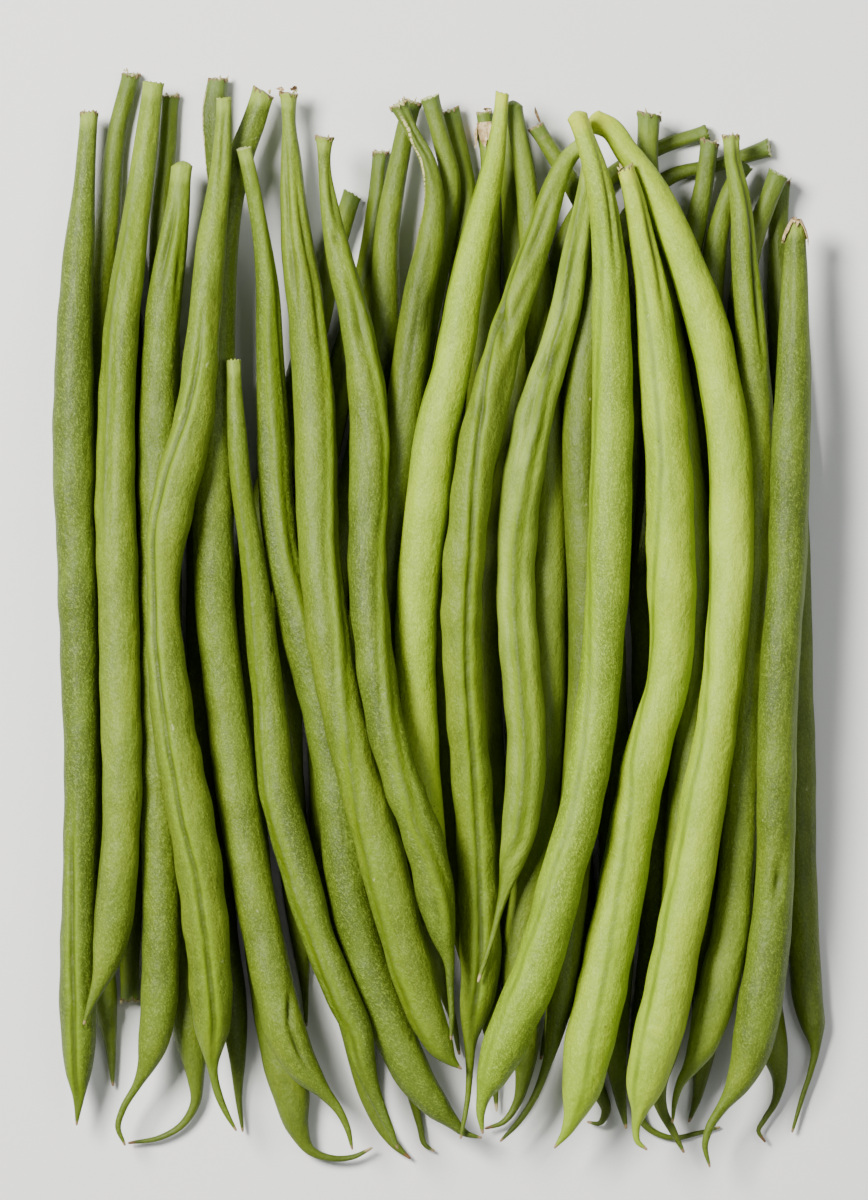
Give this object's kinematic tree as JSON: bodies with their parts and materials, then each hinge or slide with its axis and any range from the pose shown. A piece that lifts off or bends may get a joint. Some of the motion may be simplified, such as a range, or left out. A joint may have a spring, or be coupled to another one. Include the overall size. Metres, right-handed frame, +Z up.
{
  "type": "green bean bundle",
  "caption": "Loose heap of slim fresh green beans lying side by side, cut stem ends one way and curled tails the other",
  "frame": {"origin": "on the surface that the heap lies on, under the middle of its bounding box", "axes": "+X across the beans, +Y along the beans toward their cut stem ends, +Z up out of the heap"},
  "size_m": [0.1232, 0.1758, 0.0231],
  "materials": {
    "pale": "satin, fine pale down on bright yellow-green bean skin",
    "mid": "satin, fine pale down on green bean skin",
    "deep": "satin, fine pale down on darker green bean skin"
  },
  "bodies": {
    "root": {"bean_01": "deep", "bean_02": "deep", "bean_03": "deep", "bean_04": "deep", "bean_05": "deep", "bean_06": "deep", "bean_07": "deep", "bean_08": "deep", "bean_09": "deep", "bean_10": "deep", "bean_11": "deep", "bean_12": "deep", "bean_13": "deep", "bean_14": "deep", "bean_15": "deep", "bean_16": "deep", "bean_17": "deep", "bean_18": "deep", "bean_19": "mid", "bean_20": "deep", "bean_21": "deep", "bean_22": "deep", "bean_23": "deep", "bean_24": "mid", "bean_25": "mid", "bean_26": "mid", "bean_27": "mid", "bean_28": "mid", "bean_29": "mid", "bean_30": "mid", "bean_31": "pale", "bean_32": "mid", "bean_33": "mid", "bean_34": "mid", "bean_35": "mid", "bean_36": "mid", "bean_37": "pale", "bean_38": "pale", "bean_39": "pale"}
  },
  "joints": []
}
